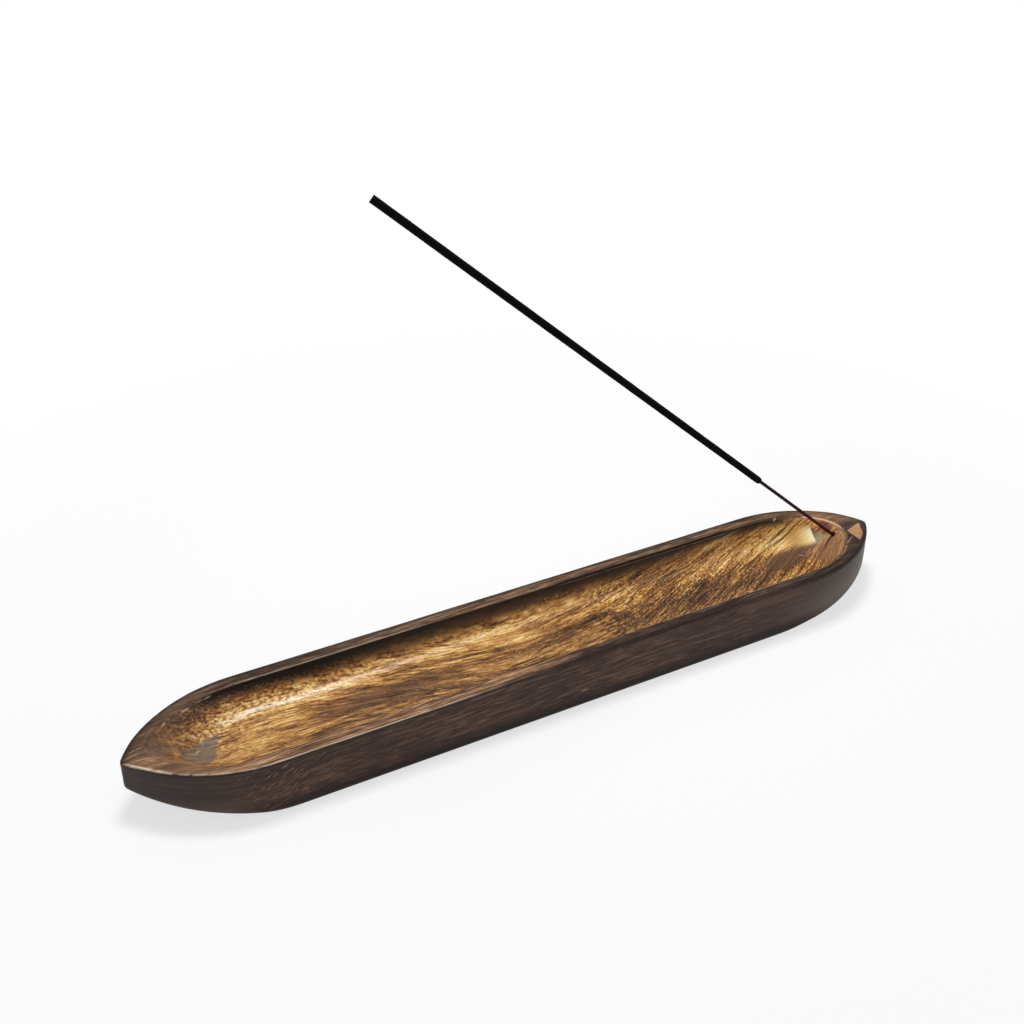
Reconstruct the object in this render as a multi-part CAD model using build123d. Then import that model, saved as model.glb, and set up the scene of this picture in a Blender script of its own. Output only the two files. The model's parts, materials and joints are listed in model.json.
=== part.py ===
from build123d import *
import math
import os

# A boat-shaped wooden incense tray with a stick leaning in its hole.
# Millimetres. X runs along the tray towards the end that holds the stick, Z is up, the base centre is the origin.

# Tray block
tray_length = 300.0
tray_width = 49.0
tray_height = 21.3
pointed_length = 44.0
nose_radius = 2.6
bottom_round = 2.0
top_round = 0.6

# Underside, a flat base that stops short of both tips and lifts towards them
plain_end_overhang = 44.0
stick_end_overhang = 53.0
tip_lift = 9.6
base_bend_radius = 60.0

# Rim, flat until it falls a little at each tip, just past the trough
rim_width = 5.1
tip_fall = 1.1
tip_fall_gap = 0.6

# Ash trough, with a long scooped ramp at each end
trough_depth = 9.5
wall_taper = 18.0
floor_round = 6.0
lip_round = 0.8
plain_end_wood = 8.5
stick_end_wood = 12.0
plain_end_ramp = 22.0
stick_end_ramp = 18.5
ramp_crest = 0.6
trough_sections = 8

# Stick hole, drilled slantwise into the ramp
hole_inset = 4.0
hole_depth = 10.0
hole_clearance = 0.4

# Incense stick
stick_lean = 41.6
core_diameter = 1.2
core_end_bevel = 0.15
bare_length = 53.0
paste_diameter = 2.56
paste_length = 199.2
paste_cap = 1.0
paste_foot_round = 0.5
paste_tip_round = 0.12

half_length = tray_length / 2
half_width = tray_width / 2
bend_start = half_length - pointed_length
trough_half_width = half_width - rim_width
plain_end_reach = half_length - plain_end_wood
stick_end_reach = half_length - stick_end_wood


def bend_radius(width, side_end, reach, nose):
    """Radius of the arc that leaves a straight side where that ends and meets the nose's circle smoothly."""
    run = reach - nose - side_end
    return (run**2 + width**2 - nose**2) / (2 * (width - nose))


def boat_outline(width, plain_end, stick_end, height):
    """Level face with straight sides, width out from the middle, that bend in to a rounded nose at each end.

    Each end is where its straight sides end, its reach and the radius of its nose, along X from the middle.
    """
    touching = []
    for side_end, reach, nose in (plain_end, stick_end):
        radius = bend_radius(width, side_end, reach, nose)
        stretch = radius / (radius - nose)
        touch_x = side_end + (reach - nose - side_end) * stretch
        touch_y = (radius - width) * (stretch - 1)
        touching.append((touch_x, touch_y))
    (plain_x, plain_y), (stick_x, stick_y) = touching
    plain_side, plain_reach, _ = plain_end
    stick_side, stick_reach, _ = stick_end
    return Pos(0, 0, height) * make_face(
        [
            Line((-plain_side, width), (stick_side, width)),
            TangentArc((stick_side, width), (stick_x, stick_y), tangent=(1, 0)),
            ThreePointArc((stick_x, stick_y), (stick_reach, 0), (stick_x, -stick_y)),
            TangentArc((stick_side, -width), (stick_x, -stick_y), tangent=(1, 0)),
            Line((stick_side, -width), (-plain_side, -width)),
            TangentArc((-plain_side, -width), (-plain_x, -plain_y), tangent=(-1, 0)),
            ThreePointArc((-plain_x, -plain_y), (-plain_reach, 0), (-plain_x, plain_y)),
            TangentArc((-plain_side, width), (-plain_x, plain_y), tangent=(-1, 0)),
        ]
    )


# Trough, whose mouth runs parallel to the outside at the rim's width and is rounded off where it stops short of a tip

def mouth_nose(reach):
    """Radius that rounds off the trough's mouth between its two bends, at a given reach."""
    outer = bend_radius(half_width, bend_start, half_length, nose_radius)
    inner = outer - rim_width
    across = outer - half_width
    along = reach - bend_start
    return (inner**2 - along**2 - across**2) / (2 * (inner - along))


def side_inset(depth):
    """How far the tapered side wall, and the round corner below it, has drawn in at a depth."""
    taper = math.radians(wall_taper)
    corner_top = trough_depth - floor_round * (1 - math.sin(taper))
    if depth <= corner_top:
        return depth * math.tan(taper)
    below_centre = depth - (trough_depth - floor_round)
    reach_out = math.sqrt(max(floor_round**2 - below_centre**2, 0))
    return corner_top * math.tan(taper) + floor_round * math.cos(taper) - reach_out


def ramp_turn(depth):
    """Angle along an end ramp's half wave, from its crest just above the rim to the floor."""
    return math.acos(1 - 2 * (depth + ramp_crest) / (trough_depth + ramp_crest))


def end_inset(depth, ramp):
    """How far an end ramp has drawn in at a depth."""
    return ramp * (ramp_turn(depth) - ramp_turn(0)) / math.pi


def ramp_depth(inset, ramp):
    """How deep an end ramp lies at a distance in from the trough's end."""
    turn = math.pi * inset / ramp + ramp_turn(0)
    return (trough_depth + ramp_crest) * (1 - math.cos(turn)) / 2 - ramp_crest


def trough_end(depth, narrowing, mouth_reach, ramp):
    """One end of the trough at a depth: the mouth's end, made smaller and moved in along the ramp."""
    reach = mouth_reach - end_inset(depth, ramp)
    side_end = reach - (mouth_reach - bend_start) * narrowing
    return side_end, reach, mouth_nose(mouth_reach) * narrowing


def trough_section(depth):
    """Level outline of the trough at one depth."""
    width = trough_half_width - side_inset(depth)
    narrowing = width / trough_half_width
    plain_end = trough_end(depth, narrowing, plain_end_reach, plain_end_ramp)
    stick_end = trough_end(depth, narrowing, stick_end_reach, stick_end_ramp)
    return boat_outline(width, plain_end, stick_end, tray_height - depth)


def trough_space():
    """Solid of the space inside the trough, from just above the rim to the floor."""
    depths = [-ramp_crest]
    for section in range(trough_sections):
        quarter_turn = math.pi / 2 * section / (trough_sections - 1)
        depths.append(trough_depth * math.sin(quarter_turn))
    return loft([trough_section(depth) for depth in depths])


# Stick axis, which leaves the middle of the ramp at the stick end and leans back over the trough
lean = math.radians(stick_lean)
stick_axis = Vector(-math.cos(lean), 0, math.sin(lean))
mouth_depth = ramp_depth(hole_inset, stick_end_ramp)
hole_mouth = Vector(stick_end_reach - hole_inset, 0, tray_height - mouth_depth)
hole_bottom = hole_mouth - stick_axis * hole_depth
on_stick = Plane(origin=hole_bottom, x_dir=(0, 1, 0), z_dir=stick_axis)
paste_start = hole_depth + bare_length
stick_length = paste_start + paste_length


def rod(radius, start, end):
    """Round bar on the stick's axis, between two distances from the bottom of the hole."""
    standing = Cylinder(radius, end - start, align=(Align.CENTER, Align.CENTER, Align.MIN))
    return on_stick * Pos(0, 0, start) * standing


def side_profile():
    """The block seen from the side: flat base with lifted ends, and a flat top that falls at the tips."""
    tip_top = tray_height - tip_fall
    plain_flat = -(plain_end_reach + tip_fall_gap)
    stick_flat = stick_end_reach + tip_fall_gap
    return Plane.XZ * make_face(
        [
            FilletPolyline(
                (-half_length, tip_lift),
                (-half_length + plain_end_overhang, 0),
                (half_length - stick_end_overhang, 0),
                (half_length, tip_lift),
                radius=base_bend_radius,
            ),
            Line((half_length, tip_lift), (half_length, tip_top)),
            TangentArc((stick_flat, tray_height), (half_length, tip_top), tangent=(1, 0)),
            Line((stick_flat, tray_height), (plain_flat, tray_height)),
            TangentArc((plain_flat, tray_height), (-half_length, tip_top), tangent=(-1, 0)),
            Line((-half_length, tip_top), (-half_length, tip_lift)),
        ]
    )


def make_tray():
    """Rounded block with the trough carved in and the stick hole drilled."""
    pointed_end = (bend_start, half_length, nose_radius)
    block = extrude(boat_outline(half_width, pointed_end, pointed_end, 0), amount=tray_height)
    block &= extrude(side_profile(), amount=half_width, both=True)

    # Each round runs on from the straight edges over the smooth bends and round both noses
    long_edges = block.edges().filter_by(Axis.X)
    block = fillet(long_edges.group_by(Axis.Z)[0], min(bottom_round, 0.85 * nose_radius))
    long_edges = block.edges().filter_by(Axis.X)
    block = fillet(long_edges.group_by(Axis.Z)[-1], top_round)

    block -= trough_space()
    mouth_edges = block.edges().filter_by_position(Axis.Z, tray_height, tray_height)
    lip = mouth_edges.sort_by(lambda edge: abs(abs(edge.center().Y) - trough_half_width))[:2]
    block = fillet(lip, lip_round)
    block -= rod(core_diameter / 2 + hole_clearance, 0, paste_start)
    return block


def make_bamboo_core():
    """Splint from the bottom of the hole to just short of the paste's tip, with its ends eased."""
    core = rod(core_diameter / 2, 0, stick_length - paste_cap)
    return chamfer(core.edges().filter_by(GeomType.CIRCLE), core_end_bevel)


def make_incense_paste(core):
    """Coat rolled onto the splint, rounded where it starts and cut square at the tip."""
    coat = rod(paste_diameter / 2, paste_start, stick_length)
    rims = coat.edges().filter_by(GeomType.CIRCLE).sort_by(Axis.Z)
    coat = fillet(rims[0], paste_foot_round)
    rims = coat.edges().filter_by(GeomType.CIRCLE).sort_by(Axis.Z)
    coat = fillet(rims[-1], paste_tip_round)
    return coat - core


bamboo_core = make_bamboo_core()
nodes = {
    "tray": make_tray(),
    "bamboo_core": bamboo_core,
    "incense_paste": make_incense_paste(bamboo_core),
}

os.makedirs("parts", exist_ok=True)
for name, solid in nodes.items():
    export_step(solid, f"parts/{name}.step")
print("stick length", round(stick_length, 1), "hole mouth", hole_mouth, "hole bottom", hole_bottom)
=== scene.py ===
import json
import math

import bmesh
import bpy
import numpy as np
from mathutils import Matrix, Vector, noise
from mathutils.bvhtree import BVHTree
from mathutils.kdtree import KDTree


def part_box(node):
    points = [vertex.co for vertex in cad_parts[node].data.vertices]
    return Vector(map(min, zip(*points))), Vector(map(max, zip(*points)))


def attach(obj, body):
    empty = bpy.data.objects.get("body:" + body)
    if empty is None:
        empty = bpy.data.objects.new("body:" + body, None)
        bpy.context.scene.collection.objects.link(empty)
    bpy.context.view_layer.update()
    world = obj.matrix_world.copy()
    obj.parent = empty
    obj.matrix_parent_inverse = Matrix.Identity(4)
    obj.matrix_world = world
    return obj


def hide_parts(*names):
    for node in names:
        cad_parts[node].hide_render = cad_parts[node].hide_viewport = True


# A boat-shaped wooden incense tray and the stick that leans in it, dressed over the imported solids.
# Metres and the solids' own frame: X runs along the tray towards the stick's end, Y to the back, Z is up.
# The plain end, half and tip of the tray are the ones away from the stick.
# The rows of lists are in millimetres, and are turned to metres where they are used.

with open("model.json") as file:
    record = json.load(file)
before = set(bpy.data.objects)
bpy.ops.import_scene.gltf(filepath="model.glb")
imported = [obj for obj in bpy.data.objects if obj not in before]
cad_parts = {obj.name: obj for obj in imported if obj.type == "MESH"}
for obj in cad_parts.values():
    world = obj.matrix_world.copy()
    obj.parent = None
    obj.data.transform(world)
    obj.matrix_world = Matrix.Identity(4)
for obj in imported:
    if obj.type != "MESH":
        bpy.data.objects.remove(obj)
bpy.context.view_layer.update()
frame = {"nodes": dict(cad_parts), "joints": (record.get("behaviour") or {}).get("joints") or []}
rim_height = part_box("tray")[1].z
mm = 0.001


def lengths(*values):
    """Lengths written in millimetres, in metres."""
    return tuple(value * mm for value in values)


# View
camera_place = (-0.20703, -0.35834, 0.31893)
camera_heading = 61.233
camera_tilt = 31.216
camera_lens = 50.294
sensor_width = 36
nearest_view = 0.01

# Light
key_place = (0.035, 0.10, 0.80)
key_length = 0.20
key_width = 0.20
key_power = 4.6
sky_level = 0.28
horizon_level = 1.0
horizon_top = 0.30

# Floor: its glow is dimmer near the tray, so that the shadow shows
floor_radius = 6.0
floor_sides = 96
floor_grey = 0.95
floor_glow = 0.68
floor_glow_rise = (0.16, 0.34)

# Tray surface
tray_voxel = 0.5 * mm
weld_distance = 0.001 * mm
trough_start = -141.6 * mm
trough_end = 138.1 * mm
trough_floor = 11.8 * mm
trough_inset = 2.5 * mm
lip_depths = lengths(0.1, 0.7)
facing_up_least = 0.15
facing_up_rise = (0.3, 0.8)
tray_wobble = 0.06 * mm
tray_wobble_size = lengths(14, 14, 14)
gouge_wobble = 0.10 * mm
gouge_wobble_size = lengths(26, 7, 7)
flat_foot = 1.5 * mm

# The outer wall is found where it is upright, at these depths under the rim, away from the hole's strip
outer_wall_depths = lengths(1.5, 4)
upright_most = 0.2
hole_half_width = 1.5 * mm
hole_reach = 145 * mm

# How far the carver's hand took the trough's lip towards the outside: middle in plan, reach and amount
lip_shifts = [(-122.5, -18, 11, 2.1), (-133.5, 12, 6, 1.5), (132.5, -10, 5, -1.3)]
lip_shift_rise = lengths(0.9, 5)
lip_shift_fall = lengths(6, 18)

# Grain: how far it turns aside for each metre along the tray, at places along the trough
grain_places = lengths(-150, -100, -60, -25, 15, 55, 150)
grain_slopes = (0.0, 0.0, -0.24, -0.16, 0.10, 0.50, 0.65)
grain_samples = 301
grain_wave = 0.8 * mm
trough_grain_wave = 1.7 * mm
grain_wave_size = lengths(24, 16, 16)

# Towards the stick the trough's grain lies in straight sheets, which lean to the middle on both side walls
straight_rise = lengths(22, 52)
straight_grain_wave = 0.5 * mm
straight_grain_lean = 1.3
lean_half_width = 6 * mm

# Its strokes grow fainter along this stretch
broken_rise = lengths(20, 55)

# Lighter and darker patches of the trough: middle, half length and half width, and how much lighter
# Those along the foot of the back wall are painted highlight; the rest are wood tone.
trough_tone_and_highlight_patches = [
    (-137, 4, 6, 9, -0.28),
    (-130.5, 1.5, 4, 5, 0.16),
    (-127, 12, 9, 4, -0.28),
    (-123, 15.5, 5, 2.5, -0.18),
    (-121.5, 10, 4, 3.5, 0.28),
    (-114, 1, 5, 3, -0.12),
    (-113, 12, 6, 2.6, 0.12),
    (-112, -5, 6, 4, 0.12),
    (-109, 10.5, 6, 2.5, -0.14),
    (-108, 13, 10, 3.5, 0.16),
    (-108, 17, 9, 2.5, -0.16),
    (-107, 3.4, 4, 2.5, 0.08),
    (-106, 16, 4, 2, 0.14),
    (-104, 1, 16, 9, 0.06),
    (-95, 3.3, 6, 2.5, 0.08),
    (-93, 6, 14, 3, 0.26),
    (-89, -5, 7, 3, 0.10),
    (-80, 13, 30, 3.2, 0.27),
    (-77, -6, 8, 4, -0.22),
    (-75, -10, 35, 5, -0.07),
    (-58, 1.5, 30, 4.5, -0.22),
    (-53, -1.5, 6, 3, -0.08),
    (-50, 10, 18, 3, -0.16),
    (-31, 2.6, 6, 3, -0.08),
    (-24, 14.5, 26, 2.2, 0.18),
    (-18, 17, 7, 2, -0.10),
    (-16, 10, 27, 6, 0.12),
    (-7, 2.3, 6, 2.5, 0.12),
    (-7, 15.6, 6, 2.5, 0.20),
    (-5, -7.5, 14, 4, -0.20),
    (0, 6, 7, 3, 0.24),
    (6, 7, 5, 2.5, 0.12),
    (13, 3.6, 7, 2.4, -0.24),
    (15, 17, 6, 2.5, -0.10),
    (17, 0.5, 7, 3, 0.12),
    (23, 9, 7, 4, 0.12),
    (25, 0, 30, 5, -0.06),
    (26, 15.8, 7, 2.6, 0.14),
    (28, 5.2, 8, 2.6, -0.20),
    (38, 1.5, 7, 3, -0.10),
    (42, 14.5, 6, 2.6, 0.12),
    (44, 9, 10, 7, 0.12),
    (47, -8, 7, 3, -0.10),
    (50, 0, 60, 8, -0.07),
    (59, 15, 17, 3.5, -0.22),
    (61, 0, 8, 5, -0.22),
    (67, 6, 6, 3, -0.10),
    (72, -4, 42, 6, -0.14),
    (77, 5, 9, 4, -0.18),
    (86, 11, 24, 4.5, 0.12),
    (89, 2.6, 6, 3, -0.08),
    (96, 17, 8, 3, 0.16),
    (98, 6, 6, 4, -0.10),
    (105, 1, 7, 4, -0.10),
    (116, 13, 9, 3.5, 0.28),
    (121, 16, 6, 2, -0.20),
    (122, 10.5, 7, 4, 0.14),
    (130, -5, 8, 6, -0.03),
]

# Patches of the trough where the grain hardly shows, and where it breaks into grains: middle and half sizes
calm_patches = [(-137, 3, 7, 10), (-58, 1.5, 26, 4), (124, 9.5, 6, 5)]
grainy_patches = [(-118, 9, 9, 6), (-100, 16, 42, 4.5), (76, 8, 26, 5), (132, -4, 6, 8)]

# The lacquer's gloss goes dull towards the stick
lacquer_fall = lengths(96, 112)

# Groups of thin lines: each line's two ends in plan, and the group's width, waviness, strength and colour
dark_lines = {
    "lines": [(84, 0.9, 118, 14.9), (76, 0.6, 106, 13.4), (-8, -6, 10, 2)],
    "half_width": 0.62 * mm,
    "wander": 0.3 * mm,
    "share": 0.85,
    "colour": (62, 38, 19),
}
# Pale grain marks and scratches, with painted highlights along the crease by the stick and along the back
# wall's foot
light_marks_and_highlights = {
    "lines": [
        (90, 4.7, 113, 14.2),
        (115.5, -7.7, 127.8, -0.8),
        (120.2, 3.4, 122.2, 1.0),
        (-126.5, 1.9, -123.8, 3.6),
        (-80, 14.9, -44, 13.6),
        (-50, 13.6, -14, 15.2),
    ],
    "half_width": 0.40 * mm,
    "wander": 0.3 * mm,
    "share": 0.5,
    "colour": (232, 196, 138),
}

# The back wall is steep, so its lines are narrower in plan
wall_lines = {
    "lines": [(46, 12.6, 82, 17.9), (70, 16.7, 104, 19.2), (58, 13.0, 88, 16.6)],
    "half_width": 0.20 * mm,
    "wander": 0.2 * mm,
    "share": 0.8,
    "colour": (206, 160, 96),
}
wall_gouges = {
    "lines": [(107, 12.2, 134, 12.9), (111, 13.8, 131, 14.5)],
    "half_width": 0.40 * mm,
    "wander": 0.2 * mm,
    "share": 0.9,
    "colour": (74, 46, 22),
}

# Painted highlight: a bright gleam along the foot of the back wall
gleam_lines = {
    "lines": [(-121, 11.6, -95, 15.2), (-110, 14.6, -58, 11.8)],
    "half_width": 0.55 * mm,
    "wander": 0.3 * mm,
    "share": 0.75,
    "colour": (255, 246, 222),
}

# Pale chips along the back lip
lip_chips = {
    "lines": [
        (-126.2, 14.2, -122.2, 15.7),
        (-118.0, 16.9, -114.2, 18.2),
        (-134.0, 9.8, -131.6, 12.4),
        (117.6, 17.2, 119.6, 17.7),
    ],
    "half_width": 0.32 * mm,
    "wander": 0.0,
    "share": 0.85,
    "colour": (222, 198, 168),
}
lip_chip_fall = lengths(0.7, 1.1)

# Pale lines on the plain tip
wedge_lines = {
    "lines": [(-149.0, 1.6, -140.8, 3.4), (-149.6, 0.2, -143.0, 0.5), (-148.4, -1.9, -140.6, -3.2)],
    "half_width": 0.28 * mm,
    "wander": 0.0,
    "share": 0.55,
    "colour": (190, 156, 122),
}

# How long the waves of wandering lines are
wander_size = lengths(9, 9, 9)

# Soot on the trough's side walls: how deep it reaches at places along the tray, and how its ends fade
soot_places = lengths(-122, -85, -45, 0, 45, 90, 118, 132)
soot_reaches = lengths(4.0, 6.2, 7.6, 7.0, 7.2, 4.6, 4.0, 3.0)
soot_steep_fall = (0.55, 0.85)
soot_wave = 1.2 * mm
soot_wave_size = lengths(12, 30, 30)
soot_rise = lengths(-126, -112)
soot_fall = lengths(116, 132)
speckled_soot_fall = lengths(-80, -35)

# Smooth facets and patches of the trough's end ramps, by their corners in plan: painted reflections and a
# painted highlight among them.
# A crisp side has the number of the corner that it starts from, counted from 0.
# Painted reflection: the smooth grey facet on the plain end's ramp
grey_reflection_facet = [
    (-131.5, -2.0),
    (-123.8, -4.5),
    (-121.0, -2.6),
    (-115.9, 8.4),
    (-121.8, 6.9),
    (-130.7, 2.3),
]
# Painted highlight: the cream facet by the stick, brightest at its crisp side
cream_highlight_facet = [(115.5, 12.4), (129.1, 3.2), (130.0, 8.8), (125.5, 11.8)]
cream_highlight_crisp_side = 1
cream_highlight_reach = 9 * mm
# Painted reflection: the dusk facet by the stick, pale at its front and darker at its back
dusk_reflection_facet = [(128.8, 1.9), (132.4, 1.7), (130.4, 9.2)]
dusk_reflection_crisp_side = 2
dusk_reflection_rise = lengths(2, 9)
# Painted dark reflection: the dusky oval at the foot of the stick's ramp
dusky_reflection_axis = (lengths(101, 2.0), lengths(128.5, 3.8))
dusky_reflection_half_width = 6 * mm
brown_ramp_fall = lengths(-130, -114)
rosy_rise = lengths(122, 128)
rosy_fall = lengths(0, 6)

# The stick's painted red reflection is an oval in plan, so its third size has no effect
red_reflection_middle = lengths(134.2, 4.8, 0)
red_reflection_size = lengths(2.2, 4.8, 1000)

# Pale facet on the front of the tip by the stick, and the grey wedge on the other tip
pale_facet = [(138.0, -3.5), (138.1, -11.2), (142.3, -8.0), (146.6, -0.4)]
grey_wedge = [(-150.0, 0.0), (-140.6, -0.9), (-141.4, 3.4)]

# How softly a facet's edge fades
crisp_edge = 0.15 * mm
soft_edge = 0.45 * mm
faded_edge = 1.3 * mm

# Where the rim's wood goes lighter or darker along the tray
front_rim_fall = lengths(-4, 4)
front_rim_turn = 3 * mm
front_rim_turn_rise = lengths(126, 138)
tan_rim_fall = lengths(-12, 8)
tan_rim_rise = lengths(-132, -104)
plain_point_fall = lengths(-143, -136)
plain_tip_fall = lengths(-122, -98)
back_rim_rise = lengths(-70, -20)
stick_tip_rise = lengths(118, 136)
calm_tip_rise = lengths(112, 132)

# The rim's lines: worn pale with a painted highlight along its front edge, dark along the rest of it, and
# one line near the lip
rubbed_front_fall = lengths(-4, 0)
rubbed_fall = lengths(-60, -20)
dark_edge_fall = lengths(0.6, 2.4)
worn_highlight_width = 0.34 * mm
worn_highlight_tip_fall = lengths(-132, -116)
worn_highlight_tip_widening = 0.20 * mm
worn_highlight_point_fall = lengths(-141, -136)
worn_highlight_point_widening = 0.35 * mm
inner_line_band = lengths(4.4, 4.9, 0.2)
inner_line_rise = lengths(20, 50)

# The lip's lines, with painted highlights and a painted shadow line among them. A band runs from one place
# or depth to another, and its last value is how softly it ends
lip_rise = lengths(3, 4)
back_lip_rise = lengths(8, 12)
front_lip_fall = lengths(-9, -6)
plain_back_band = lengths(-108, -34, 8)
plain_back_depths = lengths(0.10, 0.24, 0.05)
plain_front_fall = lengths(-15, 5)
plain_front_depths = lengths(0.1, 0.5, 0.1)
stick_back_band = lengths(20, 97, 4)
stick_back_depths = lengths(0.1, 0.7, 0.15)
stick_ledge_depths = lengths(0.9, 1.2, 0.12)
stick_end_band = (129 * mm, trough_end, 0.4 * mm)
stick_end_depths = lengths(0.06, 0.40, 0.06)
pink_rise = lengths(-3, 2)

# The outside: scuffs along the middle, smooth ends that are lighter low down, a painted pale reflection by
# the stick's end, flecks and dark edges
scuffed_band = lengths(-108, 80, 16)
plain_end_fall = lengths(-128, -112)
plain_end_low_fall = lengths(5, 13)
stick_end_rise = lengths(86, 116)
stick_end_low_fall = lengths(9, 19)
nose_rise = lengths(139, 148)
fleck_size = lengths(6, 1, 1)
fleck_slant = 0.6
fleck_band = lengths(-118, -92, 9)
front_fleck = lengths(5.2, -24.5, 7.1)
front_fleck_size = lengths(2, 2, 0.6)
dark_top_depths = lengths(0.5, 1.3, 0.3)
dark_foot_fall = lengths(2, 8)
dark_foot_band = lengths(-114, 114, 14)
wood_relief = 0.2 * mm

# Stick surface
paste_ring_gap = 0.45 * mm
paste_sides = 32
paste_grain = 0.022 * mm
paste_grain_size = 0.55 * mm
paste_lump = 0.03 * mm
paste_lump_size = 6 * mm
paste_swell = 0.01 * mm
paste_foot = 1.1 * mm
paste_foot_inset = 0.02 * mm
paste_foot_share = 0.25
paste_tip_rings = (0.94, 0.8, 0.55, 0.3, 0.1)
paste_powder_size = lengths(0.4, 0.4, 0.4)
paste_relief = 0.1 * mm
tip_slant = 0.55
tip_slant_length = 6 * mm
core_ring_gap = 1.0 * mm
core_sides = 24
core_bevel = 0.15 * mm
core_fibre = 0.05 * mm
core_fibre_lift = 0.6
core_fibre_length = 20 * mm
core_fibre_turns = 2.2
core_dye_size = lengths(0.5, 0.25, 0.5)
core_shade_rise = lengths(26, 46)


def srgb(red, green, blue):
    """Linear colour of a screen colour written from 0 to 255."""
    linear = []
    for value in (red, green, blue):
        share = value / 255
        linear.append(share / 12.92 if share <= 0.04045 else ((share + 0.055) / 1.055) ** 2.4)
    return (*linear, 1.0)


def smooth_step(values, low, high):
    """0 below low, 1 above high and a smooth rise between them."""
    share = np.clip((values - low) / (high - low), 0, 1)
    return share * share * (3 - 2 * share)


def smooth_fall(values, low, high):
    """1 below low, 0 above high and a smooth fall between them."""
    return 1 - smooth_step(values, low, high)


# Node trees

class NodeTree:
    """Adds nodes to one tree with short calls. Each returns the new node's output socket."""

    def __init__(self, tree):
        tree.nodes.clear()
        self.tree = tree

    def add(self, kind, inputs=None, output=0, **settings):
        node = self.tree.nodes.new("ShaderNode" + kind)
        for name, value in settings.items():
            setattr(node, name, value)
        for key, value in (inputs or {}).items():
            if isinstance(value, bpy.types.NodeSocket):
                self.tree.links.new(value, node.inputs[key])
            else:
                node.inputs[key].default_value = value
        return node.outputs[output]

    def math(self, operation, *values):
        return self.add("Math", dict(enumerate(values)), operation=operation)

    def mix(self, share, first, second):
        inputs = {0: share, 6: first, 7: second}
        return self.add("Mix", inputs, output=2, data_type="RGBA")

    def attribute(self, name):
        return self.add("Attribute", output=2, attribute_name=name)

    def stretched(self, point, size):
        """The point measured in cells of a size along each axis."""
        inputs = {0: point, 1: tuple(1 / side for side in size)}
        return self.add("VectorMath", inputs, operation="MULTIPLY")

    def noise(self, point, size, detail=3.0, roughness=0.55, distortion=0.0):
        """Soft noise whose cells have a size along each axis."""
        inputs = {
            "Vector": self.stretched(point, size),
            "Scale": 1.0,
            "Detail": detail,
            "Roughness": roughness,
            "Distortion": distortion,
        }
        return self.add("TexNoise", inputs)

    def step(self, value, low, high, start=0.0, end=1.0):
        """start below low, end above high and a smooth change between them."""
        inputs = {"Value": value, "From Min": low, "From Max": high, "To Min": start, "To Max": end}
        return self.add("MapRange", inputs, interpolation_type="SMOOTHSTEP")

    def rest(self, share, whole=1.0):
        """What a share leaves of the whole."""
        return self.math("SUBTRACT", whole, share)

    def below(self, value, low, high):
        """1 below low, 0 above high and a smooth fall between them."""
        return self.rest(self.step(value, low, high))

    def band(self, value, low, high, soft):
        """1 between low and high, with soft ends."""
        risen = self.step(value, low - soft, low + soft)
        return self.math("MULTIPLY", risen, self.below(value, high - soft, high + soft))

    def product(self, first, *others):
        """All the values multiplied together."""
        total = first
        for other in others:
            total = self.math("MULTIPLY", total, other)
        return total

    def departure(self, socket, share):
        """How far a noise lies from a half, times its share."""
        return self.math("MULTIPLY", self.math("SUBTRACT", socket, 0.5), share)

    def swing(self, *terms):
        """A half and each noise's departure from a half times its share."""
        total = 0.5
        for socket, share in terms:
            total = self.math("ADD", total, self.departure(socket, share))
        return total

    def axes(self, point):
        """The point's three measures."""
        node = self.tree.nodes.new("ShaderNodeSeparateXYZ")
        self.tree.links.new(point, node.inputs[0])
        return node.outputs

    def ramp(self, share, *stops):
        """Colours blended between places from 0 to 1. Each stop is a place and a screen colour."""
        node = self.tree.nodes.new("ShaderNodeValToRGB")
        elements = node.color_ramp.elements
        while len(elements) < len(stops):
            elements.new(1.0)
        for element, (place, *colour) in zip(elements, stops):
            element.position = place
            element.color = srgb(*colour)
        self.tree.links.new(share, node.inputs[0])
        return node.outputs[0]


def new_material(name):
    """Empty node material and the builder of its tree."""
    material = bpy.data.materials.new(name)
    material.use_nodes = True
    return material, NodeTree(material.node_tree)


def end_tree(nodes, kind, shader):
    """Links a shader to the tree's output."""
    output = nodes.tree.nodes.new(kind)
    nodes.tree.links.new(shader, output.inputs["Surface"])


# Tray piece

def new_piece(name, mesh, body, node):
    """Object that stands for a solid and moves with its body."""
    piece = bpy.data.objects.new(name, mesh)
    bpy.context.scene.collection.objects.link(piece)
    mesh.polygons.foreach_set("use_smooth", np.ones(len(mesh.polygons), bool))
    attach(piece, body)
    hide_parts(node)
    return piece


def welded_copy(node):
    """Copy of a solid's mesh with its seams closed."""
    edit = bmesh.new()
    edit.from_mesh(frame["nodes"][node].data)
    bmesh.ops.remove_doubles(edit, verts=edit.verts, dist=weld_distance)
    mesh = bpy.data.meshes.new(node + "_copy")
    edit.to_mesh(mesh)
    edit.free()
    return mesh


def even_mesh(source, voxel, name):
    """Evenly meshed copy of a closed mesh, drawn back onto its surface."""
    holder = bpy.data.objects.new(name, source)
    bpy.context.scene.collection.objects.link(holder)
    remesh = holder.modifiers.new("even", "REMESH")
    remesh.mode = "VOXEL"
    remesh.voxel_size = voxel
    graph = bpy.context.evaluated_depsgraph_get()
    even = bpy.data.meshes.new_from_object(holder.evaluated_get(graph))
    surface = BVHTree.FromPolygons(
        [vertex.co for vertex in source.vertices],
        [polygon.vertices for polygon in source.polygons],
    )
    for vertex in even.vertices:
        vertex.co = surface.find_nearest(vertex.co)[0]
    bpy.data.objects.remove(holder)
    return even


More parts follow.
